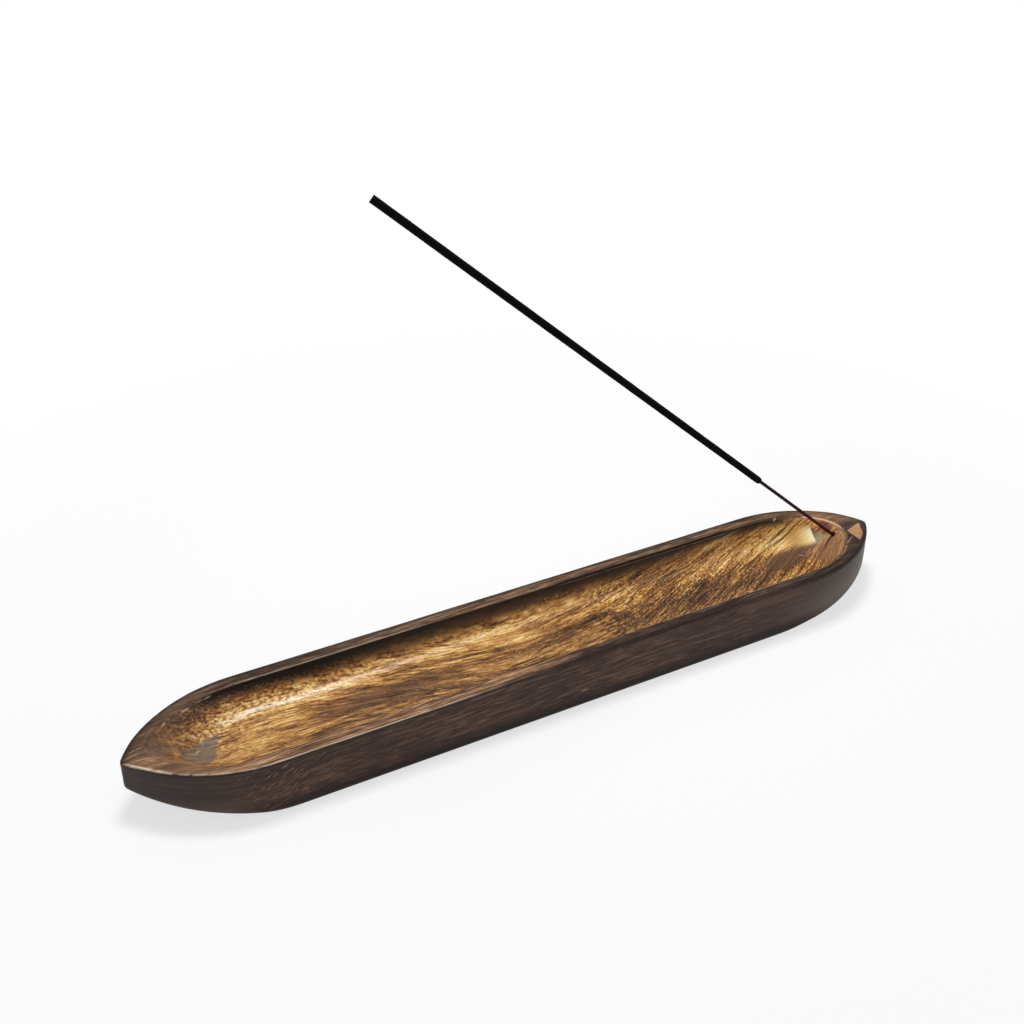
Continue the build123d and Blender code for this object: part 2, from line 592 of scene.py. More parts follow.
def points_and_normals(mesh):
    """The mesh's points and their normals as arrays."""
    points = np.zeros(len(mesh.vertices) * 3)
    normals = np.zeros(len(mesh.vertices) * 3)
    mesh.vertices.foreach_get("co", points)
    mesh.vertex_normals.foreach_get("vector", normals)
    return points.reshape(-1, 3), normals.reshape(-1, 3)


def soft_noise(points, size):
    """Smooth noise between -1 and 1 at each point, with cells of a size along each axis."""
    return np.array([noise.noise(Vector(point)) for point in points / np.array(size)])


def store(mesh, name, values):
    """Keeps one value for each point under a name that materials read."""
    attribute = mesh.attributes.new(name, "FLOAT", "POINT")
    attribute.data.foreach_set("value", values.astype(np.float32))


def store_vector(mesh, name, values):
    """Keeps one vector for each point under a name that materials read."""
    attribute = mesh.attributes.new(name, "FLOAT_VECTOR", "POINT")
    attribute.data.foreach_set("vector", values.astype(np.float32).ravel())


def grain_points(points, inside):
    """Places along and across the grain, which turns aside in the trough and runs straight elsewhere."""
    places = np.linspace(grain_places[0], grain_places[-1], grain_samples)
    slopes = np.interp(places, grain_places, grain_slopes)
    aside = np.cumsum(slopes) * (places[1] - places[0])
    straight = inside * smooth_step(points[:, 0], *straight_rise)
    wave_height = grain_wave + (trough_grain_wave - grain_wave) * inside
    wave_height += (straight_grain_wave - wave_height) * straight
    wave = wave_height * soft_noise(points, grain_wave_size)
    grain = points.copy()
    grain[:, 1] += wave - np.interp(points[:, 0], places, aside) * inside
    lean = straight_grain_lean * np.clip(points[:, 1] / lean_half_width, -1, 1)
    grain[:, 1] += lean * (points[:, 2] - trough_floor) * straight
    grain[:, 2] += wave - points[:, 2] * straight
    return grain


def nearest_edge(points, normals, depth):
    """How far each point lies from the tray's outer wall in plan, and the way there."""
    hole = (np.abs(points[:, 1]) < hole_half_width) & (np.abs(points[:, 0]) < hole_reach)
    upright = (np.abs(normals[:, 2]) < upright_most) & ~hole
    upright &= (depth > outer_wall_depths[0]) & (depth < outer_wall_depths[1])
    plan = points * np.array((1, 1, 0))
    tree = KDTree(int(upright.sum()))
    for index, point in enumerate(plan[upright]):
        tree.insert(point, index)
    tree.balance()
    found = [tree.find(point) for point in plan]
    distance = np.array([hit[2] for hit in found])
    way = np.array([hit[0] for hit in found]) - plan
    return distance, way / np.maximum(distance, weld_distance)[:, None]


def lip_shift(points, edge):
    """How far each point moves outwards with the hand-cut lip. The outer edge and the floor stay."""
    total = np.zeros(len(points))
    for x, y, reach, amount in lip_shifts:
        total += amount * mm * soft_spot(points, x, y, reach, reach)
    return total * smooth_step(edge, *lip_shift_rise) * smooth_fall(edge, *lip_shift_fall)


def trough_soot(points, normals, depth):
    """How black the trough's side walls are: most under the lip and fading downwards."""
    steep = smooth_fall(normals[:, 2], *soot_steep_fall)
    reach = np.interp(points[:, 0], soot_places, soot_reaches)
    reach += soot_wave * soft_noise(points, soot_wave_size)
    ends = smooth_step(points[:, 0], *soot_rise) * smooth_fall(points[:, 0], *soot_fall)
    return (1 - np.clip(depth / reach, 0, 1)) * steep * ends


def soft_spot(points, *spot):
    """1 in the middle of a soft ellipse in plan, falling to 0 around it."""
    x, y, half_length, half_width = lengths(*spot)
    away = ((points[:, 0] - x) / half_length) ** 2
    away += ((points[:, 1] - y) / half_width) ** 2
    return np.exp(-away)


def trough_tone_and_highlight(points):
    """How much lighter or darker the trough's wood is, from its soft patches, painted highlight among them.
    """
    return sum(amount * soft_spot(points, *spot) for *spot, amount in trough_tone_and_highlight_patches)


def spots(points, patches):
    """1 in the middle of each soft patch and 0 away from them."""
    return np.clip(sum(soft_spot(points, *patch) for patch in patches), 0, 1)


def rim_light(points):
    """How light the rim's wood is: tan along the plain half's front, brown at the back, dark elsewhere."""
    x = points[:, 0]
    turn = front_rim_turn * smooth_step(x, *front_rim_turn_rise)
    front = smooth_fall(points[:, 1] - turn, *front_rim_fall)
    tan = 0.98 * smooth_fall(x, *tan_rim_fall)
    tan *= 0.64 + 0.36 * smooth_step(x, *tan_rim_rise) + 0.3 * smooth_fall(x, *plain_point_fall)
    plain_tip = 0.34 * smooth_fall(x, *plain_tip_fall)
    middle = 0.28 + 0.14 * smooth_step(x, *back_rim_rise)
    stick_tip = 0.95 * smooth_step(x, *stick_tip_rise)
    back = np.maximum(np.maximum(middle, plain_tip), stick_tip)
    return front * np.maximum(tan, 0.03) + (1 - front) * back


def make_tray():
    """The tray, evenly meshed, with its hand-finished unevenness and the zones of its finish."""
    mesh = even_mesh(welded_copy("tray"), tray_voxel, "tray_even")
    points, normals = points_and_normals(mesh)
    depth = rim_height - points[:, 2]
    edge, outward = nearest_edge(points, normals, depth)
    upward = normals[:, 2] > facing_up_least
    inward = (edge > trough_inset) & upward & (points[:, 0] > trough_start) & (points[:, 0] < trough_end)
    inside = smooth_step(depth, *lip_depths) * inward
    store(mesh, "inside", inside)
    store(mesh, "edge", edge)
    store(mesh, "facing_up", smooth_step(normals[:, 2], *facing_up_rise))
    store(mesh, "soot", trough_soot(points, normals, depth) * inward)
    store(mesh, "patch", trough_tone_and_highlight(points))
    store(mesh, "calm", spots(points, calm_patches))
    store(mesh, "grainy", spots(points, grainy_patches))
    store(mesh, "lacquer", inside * smooth_fall(points[:, 0], *lacquer_fall))
    store(mesh, "depth", depth)
    store(mesh, "rim_light", rim_light(points))
    store_vector(mesh, "grain", grain_points(points, inside))
    wobble = tray_wobble * soft_noise(points, tray_wobble_size)
    wobble += gouge_wobble * soft_noise(points, gouge_wobble_size) * inside
    wobble *= smooth_step(points[:, 2], 0, flat_foot)
    points += outward * (lip_shift(points, edge) * upward)[:, None]
    points += normals * wobble[:, None]
    mesh.vertices.foreach_set("co", points.ravel())
    return new_piece("wooden_tray", mesh, "tray", "tray")


# Stick pieces

stick_axis = Vector(frame["joints"][0]["axis"]).normalized()


def rod_measures(node):
    """Point on a rod's centre line, its start and end along the stick's axis from there, and its radius."""
    points = points_and_normals(frame["nodes"][node].data)[0]
    axis = np.array(stick_axis)
    middle = (points.max(0) + points.min(0)) / 2
    along = (points - middle) @ axis
    out = np.linalg.norm(points - middle - along[:, None] * axis, axis=1)
    return Vector(middle), along.min(), along.max(), out.max()


def revolved(name, middle, profile, sides, rough):
    """Closed skin of a profile of (place along the axis, radius) turned round the stick's axis.

    rough gives how far a point stands out, from its place, its angle and its radius.
    """
    across = Vector((0, 1, 0))
    other = stick_axis.cross(across)
    edit = bmesh.new()
    rings = []
    for place, radius in profile:
        ring = []
        for side in range(sides):
            angle = 2 * math.pi * side / sides
            direction = across * math.cos(angle) + other * math.sin(angle)
            reach = radius + rough(place, angle, radius)
            ring.append(edit.verts.new(middle + stick_axis * place + direction * reach))
        rings.append(ring)
    for ring, following in zip(rings, rings[1:]):
        for side in range(sides):
            after = (side + 1) % sides
            edit.faces.new((ring[side], ring[after], following[after], following[side]))
    edit.faces.new(list(reversed(rings[0])))
    edit.faces.new(rings[-1])
    bmesh.ops.recalc_face_normals(edit, faces=edit.faces)
    mesh = bpy.data.meshes.new(name)
    edit.to_mesh(mesh)
    edit.free()
    return mesh


def slant_tip(mesh, middle, end, radius):
    """Draws the near side of a rod's tip out, as a slanting cut leaves it."""
    for vertex in mesh.vertices:
        off = vertex.co - middle
        share = max(1 - (end - off.dot(stick_axis)) / tip_slant_length, 0)
        vertex.co += stick_axis * share * tip_slant * (radius - off.y)


def make_paste():
    """The rolled coat: grainy and a little lumpy, rounded at its foot and cut at a slant at its tip."""
    middle, start, end, radius = rod_measures("incense_paste")
    core_radius = rod_measures("bamboo_core")[3]
    rings = round((end - start) / paste_ring_gap)
    profile = [(start + paste_foot_inset, core_radius)]
    for place in np.linspace(start, end, rings):
        rise = min((place - start) / paste_foot, 1.0)
        rounding = math.sqrt(max(1 - (1 - rise) ** 2, 0.0))
        share = paste_foot_share + (1 - paste_foot_share) * rounding
        profile.append((place, core_radius + (radius - core_radius) * share))
    for share in paste_tip_rings:
        profile.append((end, radius * share))

    def rough(place, angle, at_radius):
        spot = Vector((place, at_radius * math.cos(angle), at_radius * math.sin(angle)))
        grain = paste_grain * noise.noise(spot / paste_grain_size)
        lump = paste_lump * noise.noise(spot / paste_lump_size)
        return (grain + lump + paste_swell) * min(at_radius / radius, 1.0)

    mesh = revolved("incense_coat", middle, profile, paste_sides, rough)
    slant_tip(mesh, middle, end, radius)
    return new_piece("incense_coat", mesh, "stick", "incense_paste")


def make_core():
    """The bamboo splint, with fibre ridges along it."""
    middle, start, end, radius = rod_measures("bamboo_core")
    rings = round((end - start) / core_ring_gap)
    profile = [(start, radius - core_bevel)]
    for place in np.linspace(start + core_bevel, end - core_bevel, rings):
        profile.append((place, radius))
    profile.append((end, radius - core_bevel))

    def rough(place, angle, at_radius):
        around = core_fibre_turns * Vector((0, math.cos(angle), math.sin(angle)))
        spot = around + Vector((place / core_fibre_length, 0, 0))
        return core_fibre * (noise.noise(spot) + core_fibre_lift)

    mesh = revolved("bamboo_splint", middle, profile, core_sides, rough)
    return new_piece("bamboo_splint", mesh, "stick", "bamboo_core")


# Patterns of the wood

def grain_patterns(nodes):
    """The grain's noises, from broad bands to specks, and the fine lines of the outside and the rim."""
    grain = nodes.add("Attribute", output=1, attribute_name="grain")
    along = nodes.axes(grain)
    on_wall = nodes.add("CombineXYZ", {0: along["X"], 1: along["Z"]})
    on_rim = nodes.add("CombineXYZ", {0: along["X"], 1: nodes.attribute("edge")})
    return {
        "broad": nodes.noise(grain, lengths(45, 6, 14), detail=2),
        "cluster": nodes.noise(grain, lengths(20, 8, 8), detail=1),
        "streak": nodes.noise(grain, lengths(16, 1.6, 2.5), detail=3, roughness=0.6),
        "stroke": nodes.noise(grain, lengths(6, 0.8, 1.2), detail=2, roughness=0.6, distortion=0.2),
        "squiggle": nodes.noise(grain, lengths(2.4, 0.8, 1.0), detail=2, distortion=1.4),
        "comb": nodes.noise(grain, lengths(20, 0.6, 6), detail=2, roughness=0.6),
        "speck": nodes.noise(grain, lengths(1.4, 0.8, 0.9), detail=1),
        "line": nodes.noise(on_wall, lengths(38, 1.2, 1), detail=3),
        "scuff": nodes.noise(on_wall, lengths(8, 1.1, 1), detail=3, roughness=0.65, distortion=0.4),
        "rim line": nodes.noise(on_rim, lengths(26, 0.7, 1), detail=2),
    }


def line_distance(nodes, plan, start, end):
    """Distance of a point to the left of the line from start to end, in plan, and how far along it lies."""
    run = Vector(end) - Vector(start)
    along = run.normalized()
    left = Vector((-along.y, along.x))
    off = nodes.add("VectorMath", {0: plan, 1: (*start, 0.0)}, operation="SUBTRACT")
    aside = nodes.add("VectorMath", {0: off, 1: (*left, 0.0)}, output=1, operation="DOT_PRODUCT")
    ahead = nodes.add("VectorMath", {0: off, 1: (*along, 0.0)}, output=1, operation="DOT_PRODUCT")
    return aside, nodes.math("DIVIDE", ahead, run.length)


def in_facet(nodes, plan, corners, softness, crisp_side=None):
    """1 inside a bulging outline in plan whose corners go round anticlockwise, with soft edges."""
    corners = [lengths(*corner) for corner in corners]
    sides = []
    for number, (start, end) in enumerate(zip(corners, corners[1:] + corners[:1])):
        aside, _ = line_distance(nodes, plan, start, end)
        soft = crisp_edge if number == crisp_side else softness
        sides.append(nodes.step(aside, -soft, soft))
    return nodes.product(*sides)


def in_oval(nodes, point, middle, size, low, high):
    """1 in the middle of an oval, falling to 0 from a low to a high share of its half sizes."""
    off = nodes.add("VectorMath", {0: point, 1: middle}, operation="SUBTRACT")
    away = nodes.add("VectorMath", {0: nodes.stretched(off, size)}, output=1, operation="LENGTH")
    return nodes.below(away, low, high)


def tapered_line(nodes, plan, line, half_width, wander):
    """A thin line that is widest halfway and may wander a little."""
    aside, ahead = line_distance(nodes, plan, line[:2], line[2:])
    drift = nodes.departure(nodes.noise(plan, wander_size, detail=2), wander)
    off = nodes.math("ABSOLUTE", nodes.math("ADD", aside, drift))
    swell = nodes.product(ahead, nodes.rest(ahead), 4 * half_width)
    return nodes.below(nodes.math("SUBTRACT", off, swell), -half_width, 0.3 * half_width)


def with_lines(nodes, plan, colour, group, *gates):
    """The colour with a group of thin lines drawn over it, each as strong as the gates let it be."""
    for line in group["lines"]:
        mark = tapered_line(nodes, plan, lengths(*line), group["half_width"], group["wander"])
        colour = nodes.mix(nodes.product(mark, *gates, group["share"]), colour, srgb(*group["colour"]))
    return colour


# The trough's colours

def trough_tone(nodes, place, pattern, lively):
    """How light the trough's wood is, from its broad bands, strokes, grains and patches, painted highlight
    among them.
    """
    grainy = nodes.attribute("grainy")
    straight = nodes.step(place["X"], *straight_rise)
    broken = nodes.math("MAXIMUM", grainy, nodes.step(pattern["cluster"], 0.42, 0.60))
    broken = nodes.math("MAXIMUM", broken, nodes.product(nodes.step(place["X"], *broken_rise), 0.75))
    specked = nodes.math("MAXIMUM", grainy, nodes.product(straight, 0.5))
    fine = nodes.swing(
        (pattern["streak"], 1.0),
        (pattern["stroke"], nodes.rest(nodes.product(broken, 0.9), 1.5)),
        (pattern["speck"], nodes.math("ADD", 0.4, nodes.product(specked, 1.1))),
        (pattern["comb"], nodes.product(straight, 1.1)),
    )
    tone = nodes.math("ADD", nodes.swing((pattern["broad"], 0.8)), nodes.departure(fine, lively))
    return nodes.math("ADD", tone, nodes.attribute("patch"))


def trough_colour(nodes, plan, place, pattern):
    """Golden lacquered wood with darker streaks, squiggles and bright specks of painted glint, black under
    the lip, with painted reflections and highlights on its end ramps.
    """
    lively = nodes.rest(nodes.product(nodes.attribute("calm"), 0.7))
    colour = nodes.ramp(
        trough_tone(nodes, place, pattern, lively),
        (0.10, 46, 26, 10),
        (0.30, 101, 62, 27),
        (0.50, 160, 108, 54),
        (0.66, 203, 149, 78),
        (0.84, 243, 200, 122),
        (1.00, 255, 234, 184),
    )
    rough = nodes.product(nodes.step(pattern["cluster"], 0.40, 0.58), lively)
    pores = nodes.product(nodes.below(pattern["squiggle"], 0.36, 0.44), rough)
    colour = nodes.mix(nodes.product(pores, 0.6), colour, srgb(76, 43, 18))
    # Painted glints: bright gold specks that stand in for light caught by the grain
    glints = nodes.product(nodes.step(pattern["squiggle"], 0.58, 0.68), rough)
    colour = nodes.mix(nodes.product(glints, 0.5), colour, srgb(236, 192, 124))
    colour = plain_ramp(nodes, plan, place, pattern, colour)
    colour = dusky_reflection_patch(nodes, plan, pattern, colour)
    colour = cream_highlight_ramp(nodes, plan, pattern, colour)
    colour = stick_ramp(nodes, plan, place, colour)
    colour = trough_soot_colour(nodes, place, pattern, colour)
    # Dark lines, pale lines with painted highlights among them, and the back wall's lines and gouges
    for group in (dark_lines, light_marks_and_highlights, wall_lines, wall_gouges):
        colour = with_lines(nodes, plan, colour, group)
    # Painted highlight: the gleam along the foot of the back wall
    return with_lines(nodes, plan, colour, gleam_lines, nodes.step(pattern["stroke"], 0.30, 0.55))


def plain_ramp(nodes, plan, place, pattern, colour):
    """The plain end's ramp, browner and speckled, with its smooth grey facet of painted reflection."""
    brown = nodes.ramp(pattern["speck"], (0.30, 76, 54, 40), (0.70, 146, 110, 78))
    colour = nodes.mix(nodes.product(nodes.below(place["X"], *brown_ramp_fall), 0.4), colour, brown)
    # Painted reflection on the smooth grey facet
    grey = nodes.ramp(pattern["stroke"], (0.30, 84, 70, 62), (0.70, 126, 110, 98))
    facet = in_facet(nodes, plan, grey_reflection_facet, soft_edge)
    return nodes.mix(nodes.product(facet, 0.8), colour, grey)


def dusky_reflection_patch(nodes, plan, pattern, colour):
    """Painted dark reflection: the dusky oval at the foot of the stick's ramp, with a ragged edge."""
    dusky = nodes.ramp(pattern["streak"], (0.30, 78, 55, 43), (0.70, 114, 85, 68))
    aside, ahead = line_distance(nodes, plan, *dusky_reflection_axis)
    along = nodes.math("MULTIPLY_ADD", ahead, 2.0, -1.0)
    across = nodes.math("DIVIDE", aside, dusky_reflection_half_width)
    off = nodes.math("ADD", nodes.product(along, along), nodes.product(across, across))
    off = nodes.math("ADD", off, nodes.math("SUBTRACT", pattern["stroke"], 0.5))
    return nodes.mix(nodes.product(nodes.below(off, 0.3, 1.15), 0.85), colour, dusky)


def cream_highlight_ramp(nodes, plan, pattern, colour):
    """The painted highlight of the cream facet by the stick, brightest at its crisp side and fading away
    from it.
    """
    start = lengths(*cream_highlight_facet[cream_highlight_crisp_side])
    end = lengths(*cream_highlight_facet[cream_highlight_crisp_side + 1])
    aside, _ = line_distance(nodes, plan, start, end)
    streaks = nodes.product(pattern["stroke"], 0.4)
    shade = nodes.math("ADD", nodes.math("DIVIDE", aside, cream_highlight_reach), streaks)
    cream = nodes.ramp(shade, (0.22, 255, 250, 214), (0.48, 246, 216, 146), (0.90, 214, 166, 96))
    facet = in_facet(nodes, plan, cream_highlight_facet, faded_edge, cream_highlight_crisp_side)
    return nodes.mix(nodes.product(facet, nodes.below(shade, 0.45, 1.5)), colour, cream)


def stick_ramp(nodes, plan, place, colour):
    """The ramp by the stick: its dusky facet's painted reflection, its rosy front and the stick's painted
    red reflection beside the hole.
    """
    # Painted reflection on the dusk facet
    dusk_reflection = nodes.ramp(nodes.step(place["Y"], *dusk_reflection_rise), (0.1, 176, 160, 130), (0.9, 96, 74, 54))
    facet = in_facet(nodes, plan, dusk_reflection_facet, soft_edge, dusk_reflection_crisp_side)
    colour = nodes.mix(nodes.product(facet, 0.9), colour, dusk_reflection)
    rosy = nodes.product(nodes.step(place["X"], *rosy_rise), nodes.below(place["Y"], *rosy_fall), 0.50)
    colour = nodes.mix(rosy, colour, srgb(166, 126, 98))
    # Painted reflection of the red stick beside the hole
    glow = in_oval(nodes, plan, red_reflection_middle, red_reflection_size, 0.3, 1.1)
    return nodes.mix(nodes.product(glow, 0.9), colour, srgb(104, 50, 36))


def trough_soot_colour(nodes, place, pattern, colour):
    """Soot under the lip, speckled at the plain end and fading smoothly to olive brown elsewhere."""
    soot = nodes.attribute("soot")
    plain = nodes.below(place["X"], *speckled_soot_fall)
    ragged = nodes.swing(
        (pattern["speck"], nodes.product(plain, 1.45)),
        (pattern["stroke"], 0.65),
        (pattern["streak"], nodes.rest(nodes.product(plain, 0.55), 0.75)),
    )
    ragged = nodes.math("ADD", soot, nodes.math("SUBTRACT", ragged, 0.5))
    share = nodes.product(nodes.step(ragged, 0.04, 0.60), nodes.step(soot, 0.0, 0.12))
    streaky = nodes.math("ADD", soot, nodes.departure(pattern["stroke"], 0.5))
    olive = nodes.ramp(streaky, (0.15, 108, 80, 50), (0.50, 74, 57, 41), (0.90, 40, 32, 25))
    return nodes.mix(share, colour, nodes.mix(plain, olive, srgb(28, 21, 16)))


# The rim's colours

def rim_colour(nodes, plan, place, pattern):
    """Brown rim, tan in places, with a pale facet on one tip and a grey wedge on the other."""
    tips = nodes.step(nodes.math("ABSOLUTE", place["X"]), *calm_tip_rise)
    tone = nodes.swing(
        (pattern["broad"], 0.5),
        (pattern["streak"], 0.6),
        (pattern["stroke"], nodes.rest(nodes.product(tips, 0.6), 1.1)),
        (pattern["rim line"], nodes.rest(nodes.product(tips, 1.0), 1.4)),
    )
    dark = nodes.ramp(tone, (0.20, 30, 22, 19), (0.50, 54, 41, 34), (0.80, 98, 77, 62))
    tan = nodes.ramp(tone, (0.20, 74, 49, 34), (0.50, 138, 101, 72), (0.80, 200, 160, 120))
    colour = nodes.mix(nodes.attribute("rim_light"), dark, tan)
    pale = nodes.ramp(tone, (0.25, 188, 138, 92), (0.75, 214, 168, 120))
    facet = in_facet(nodes, plan, pale_facet, crisp_edge)
    colour = nodes.mix(nodes.product(facet, 0.78), colour, pale)
    wedge = nodes.ramp(tone, (0.25, 88, 66, 50), (0.75, 134, 110, 84))
    colour = nodes.mix(in_facet(nodes, plan, grey_wedge, soft_edge), colour, wedge)
    return with_lines(nodes, plan, colour, wedge_lines)


def rim_lines(nodes, place, pattern, colour):
    """The rim with its lines: worn pale with a painted highlight outside along the plain half, dark outside
    elsewhere.
    """
    edge = nodes.attribute("edge")
    front = nodes.below(place["Y"], *rubbed_front_fall)
    rubbed = nodes.product(front, nodes.below(place["X"], *rubbed_fall))
    dark = nodes.product(nodes.below(edge, *dark_edge_fall), nodes.rest(rubbed))
    colour = nodes.mix(nodes.product(dark, 0.75), colour, srgb(32, 25, 21))
    broken = nodes.step(pattern["streak"], 0.30, 0.50)
    tip = nodes.below(place["X"], *worn_highlight_tip_fall)
    point = nodes.below(place["X"], *worn_highlight_point_fall)
    width = nodes.math("ADD", worn_highlight_width, nodes.product(tip, worn_highlight_tip_widening))
    width = nodes.math("ADD", width, nodes.product(point, worn_highlight_point_widening))
    faint = nodes.product(tip, nodes.rest(point), 0.45)
    # Pale line along the front edge: worn lighter wood with a painted highlight on its rounding
    worn_highlight = nodes.below(nodes.math("DIVIDE", edge, width), 0.7, 1.3)
    worn_highlight = nodes.product(worn_highlight, rubbed, broken, nodes.rest(faint, 0.9))
    colour = nodes.mix(worn_highlight, colour, srgb(226, 206, 182))
    inner = nodes.band(edge, *inner_line_band)
    inner = nodes.product(inner, front, nodes.step(place["X"], *inner_line_rise), broken)
    return nodes.mix(nodes.product(inner, 0.7), colour, srgb(176, 132, 98))


def lip_lines(nodes, plan, place, pattern, colour):
    """Painted highlights, a painted shadow line, a dark line and chips along the trough's lip."""
    depth = nodes.attribute("depth")
    lip = nodes.step(nodes.attribute("edge"), *lip_rise)
    back = nodes.product(lip, nodes.step(place["Y"], *back_lip_rise))
    front = nodes.product(lip, nodes.below(place["Y"], *front_lip_fall))
    broken = nodes.step(pattern["streak"], 0.32, 0.50)
    # Painted highlight on the rounding of the back lip along the plain half
    plain_back = nodes.product(back, nodes.band(place["X"], *plain_back_band))
    light = nodes.product(plain_back, nodes.band(depth, *plain_back_depths), broken)
    colour = nodes.mix(nodes.product(light, 0.85), colour, srgb(168, 154, 138))
    # A darker line along the front lip of the plain half
    plain_front = nodes.product(front, nodes.below(place["X"], *plain_front_fall))
    front_lip_dark_line = nodes.product(plain_front, nodes.band(depth, *plain_front_depths), broken)
    colour = nodes.mix(nodes.product(front_lip_dark_line, 0.5), colour, srgb(70, 47, 32))
    # Painted shade of a thin groove under the back lip by the stick, and a painted highlight on the small
    # ledge below it
    stick_back = nodes.product(back, nodes.band(place["X"], *stick_back_band))
    dark = nodes.product(stick_back, nodes.band(depth, *stick_back_depths))
    colour = nodes.mix(dark, colour, srgb(26, 20, 17))
    ledge = nodes.product(stick_back, nodes.band(depth, *stick_ledge_depths), broken)
    colour = nodes.mix(nodes.product(ledge, 0.5), colour, srgb(140, 124, 106))
    # Painted highlight round the lip at the stick's end, pink at the back
    stick_end = nodes.product(lip, nodes.band(place["X"], *stick_end_band))
    stick_end = nodes.product(stick_end, nodes.band(depth, *stick_end_depths))
    colour = nodes.mix(nodes.product(stick_end, 0.5), colour, srgb(150, 112, 82))
    pink = nodes.product(stick_end, nodes.step(place["Y"], *pink_rise))
    colour = nodes.mix(nodes.product(pink, 0.9), colour, srgb(230, 186, 154))
    return with_lines(nodes, plan, colour, lip_chips, nodes.below(depth, *lip_chip_fall))


# The outside's colours

def outside_colour(nodes, point, place, pattern):
    """Burnt dark brown with scuffs, smooth grey ends with a painted pale reflection by the stick, pale
    flecks, and dark edges.
    """
    scuffed = nodes.band(place["X"], *scuffed_band)
    tone = nodes.swing(
        (pattern["broad"], 0.5),
        (pattern["line"], 0.7),
        (pattern["scuff"], nodes.math("ADD", 0.25, nodes.product(scuffed, 0.85))),
    )
    colour = nodes.ramp(tone, (0.20, 38, 27, 23), (0.50, 70, 51, 43), (0.80, 114, 87, 71))
    colour = outside_ends(nodes, place, colour)
    colour = outside_flecks(nodes, point, place, colour)
    top = nodes.band(nodes.attribute("depth"), *dark_top_depths)
    colour = nodes.mix(nodes.product(top, 0.6), colour, srgb(26, 21, 19))
    foot = nodes.below(place["Z"], *dark_foot_fall)
    foot = nodes.product(foot, nodes.band(place["X"], *dark_foot_band), 0.85)
    return nodes.mix(foot, colour, srgb(22, 17, 14))


def outside_ends(nodes, place, colour):
    """The smooth ends of the outside: smoky at the plain end, and by the stick a painted pale reflection
    that is palest at that tip.
    """
    low = nodes.below(place["Z"], *plain_end_low_fall)
    smoky = nodes.ramp(low, (0.0, 53, 47, 44), (1.0, 84, 73, 67))
    colour = nodes.mix(nodes.product(nodes.below(place["X"], *plain_end_fall), 0.72), colour, smoky)
    # Painted reflection: paler grey towards the stick's end, lighter low down
    low = nodes.below(place["Z"], *stick_end_low_fall)
    pale_reflection = nodes.ramp(low, (0.0, 76, 64, 57), (1.0, 98, 87, 78))
    colour = nodes.mix(nodes.product(nodes.step(place["X"], *stick_end_rise), 0.88), colour, pale_reflection)
    # Painted reflection, palest at the nose
    nose = nodes.step(place["X"], *nose_rise)
    return nodes.mix(nodes.product(nose, 0.8), colour, srgb(164, 156, 146))


def outside_flecks(nodes, point, place, colour):
    """Pale slanting flecks by the plain end, and one fleck low on the front."""
    across = nodes.math("SUBTRACT", place["Z"], nodes.product(place["X"], fleck_slant))
    slant = nodes.add("CombineXYZ", {0: nodes.math("ADD", place["X"], place["Z"]), 1: across})
    scratch = nodes.noise(slant, fleck_size, detail=2)
    flecks = nodes.product(nodes.step(scratch, 0.55, 0.72), nodes.band(place["X"], *fleck_band))
    colour = nodes.mix(nodes.product(flecks, 0.65), colour, srgb(150, 120, 96))
    fleck = in_oval(nodes, point, front_fleck, front_fleck_size, 0.4, 1.0)
    return nodes.mix(nodes.product(fleck, 0.7), colour, srgb(150, 118, 96))


# Materials

def burnt_wood():
    """Dark burnt outside, brown rim and golden trough of one piece of wood."""
    material, nodes = new_material("burnt_wood")
    point = nodes.add("TexCoord", output=3)
    plan = nodes.add("VectorMath", {0: point, 1: (1, 1, 0)}, operation="MULTIPLY")
    place = nodes.axes(point)
    pattern = grain_patterns(nodes)
    rim = rim_lines(nodes, place, pattern, rim_colour(nodes, plan, place, pattern))
    colour = nodes.mix(nodes.attribute("facing_up"), outside_colour(nodes, point, place, pattern), rim)
    colour = nodes.mix(nodes.attribute("inside"), colour, trough_colour(nodes, plan, place, pattern))
    colour = lip_lines(nodes, plan, place, pattern, colour)
    relief = nodes.swing((pattern["stroke"], 1.0), (pattern["squiggle"], 0.8), (pattern["speck"], 0.8))
    bump = nodes.add("Bump", {"Height": relief, "Strength": 0.6, "Distance": wood_relief})
    sootless = nodes.below(nodes.attribute("soot"), 0.2, 0.9)
    shader = nodes.add(
        "BsdfPrincipled",
        {
            "Base Color": colour,
            "Roughness": 0.48,
            "Specular IOR Level": 0.16,
            "Coat Weight": nodes.product(nodes.attribute("lacquer"), sootless, 0.75),
            "Coat Roughness": 0.28,
            "Normal": bump,
            "Coat Normal": bump,
        },
    )
    end_tree(nodes, "ShaderNodeOutputMaterial", shader)
    return material


def incense_paste():
    """Powdery black coat."""
    material, nodes = new_material("incense_paste")
    powder = nodes.noise(nodes.add("TexCoord", output=3), paste_powder_size, detail=4)
    colour = nodes.ramp(powder, (0.3, 6, 6, 6), (0.75, 20, 19, 19))
    bump = nodes.add("Bump", {"Height": powder, "Strength": 0.4, "Distance": paste_relief})
    shader = nodes.add(
        "BsdfPrincipled",
        {"Base Color": colour, "Roughness": 0.9, "Specular IOR Level": 0.05, "Normal": bump},
    )
    end_tree(nodes, "ShaderNodeOutputMaterial", shader)
    return material


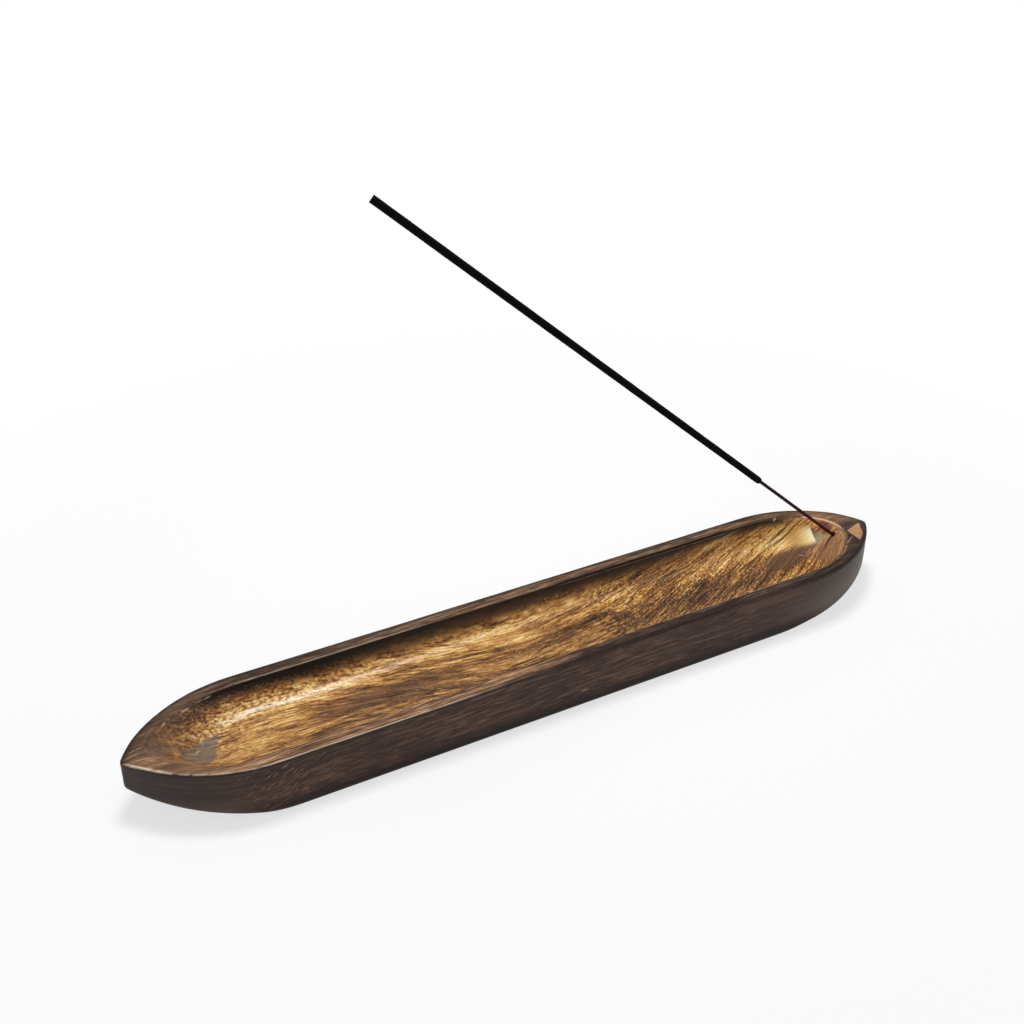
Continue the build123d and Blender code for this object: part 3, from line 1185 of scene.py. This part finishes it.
def dyed_bamboo():
    """Dull red dye over straight fibres, darker towards the coat."""
    material, nodes = new_material("dyed_bamboo")
    point = nodes.add("TexCoord", output=3)
    fibre = nodes.noise(point, core_dye_size, detail=3)
    colour = nodes.ramp(fibre, (0.3, 42, 11, 8), (0.7, 92, 26, 18))
    shade = nodes.step(nodes.axes(point)["Z"], *core_shade_rise)
    colour = nodes.mix(shade, colour, srgb(36, 14, 13))
    shader = nodes.add(
        "BsdfPrincipled",
        {"Base Color": colour, "Roughness": 0.6, "Specular IOR Level": 0.12},
    )
    end_tree(nodes, "ShaderNodeOutputMaterial", shader)
    return material


# Stage

def make_floor():
    """Wide pale floor that shows white and keeps the object's shadow."""
    edit = bmesh.new()
    bmesh.ops.create_circle(edit, cap_ends=True, radius=floor_radius, segments=floor_sides)
    mesh = bpy.data.meshes.new("floor")
    edit.to_mesh(mesh)
    edit.free()
    floor = bpy.data.objects.new("floor", mesh)
    bpy.context.scene.collection.objects.link(floor)
    material, nodes = new_material("floor")
    ray = nodes.tree.nodes.new("ShaderNodeLightPath").outputs
    seen = nodes.math("MAXIMUM", ray["Is Camera Ray"], ray["Is Glossy Ray"])
    seen = nodes.math("MAXIMUM", seen, ray["Is Transmission Ray"])
    plain = nodes.add("BsdfDiffuse", {"Color": (floor_grey, floor_grey, floor_grey, 1)})
    glow = nodes.add("Emission", {"Color": (1, 1, 1, 1), "Strength": 1.0})
    away = nodes.add("VectorMath", {0: nodes.add("TexCoord", output=3)}, output=1, operation="LENGTH")
    share = nodes.step(away, *floor_glow_rise, start=floor_glow)
    shader = nodes.add("MixShader", {0: nodes.math("MULTIPLY", seen, share), 1: plain, 2: glow})
    end_tree(nodes, "ShaderNodeOutputMaterial", shader)
    mesh.materials.append(material)


def make_sky():
    """Soft light from all round, white at the horizon and calmer above."""
    world = bpy.data.worlds.new("sky")
    world.use_nodes = True
    nodes = NodeTree(world.node_tree)
    direction = nodes.add("TexCoord", output=0)
    height = nodes.add("SeparateXYZ", {0: direction}, output=2)
    level = nodes.step(height, 0.5 * horizon_top, horizon_top, horizon_level, sky_level)
    shader = nodes.add("Background", {"Color": (1, 1, 1, 1), "Strength": level})
    end_tree(nodes, "ShaderNodeOutputWorld", shader)
    bpy.context.scene.world = world


def make_key_light():
    """Soft light over the tray."""
    lamp = bpy.data.lights.new("key", "AREA")
    lamp.shape = "RECTANGLE"
    lamp.size = key_length
    lamp.size_y = key_width
    lamp.energy = key_power
    light = bpy.data.objects.new("key", lamp)
    light.location = key_place
    bpy.context.scene.collection.objects.link(light)


def make_camera():
    """Camera at the photograph's place."""
    lens = bpy.data.cameras.new("camera")
    lens.lens = camera_lens
    lens.sensor_width = sensor_width
    lens.clip_start = nearest_view
    camera = bpy.data.objects.new("camera", lens)
    camera.location = camera_place
    camera.rotation_euler = (math.radians(90 - camera_tilt), 0, math.radians(camera_heading - 90))
    bpy.context.scene.collection.objects.link(camera)
    bpy.context.scene.camera = camera


bpy.context.scene.view_settings.view_transform = "Standard"
make_floor()
make_sky()
make_key_light()
make_camera()
make_tray().data.materials.append(burnt_wood())
make_paste().data.materials.append(incense_paste())
make_core().data.materials.append(dyed_bamboo())
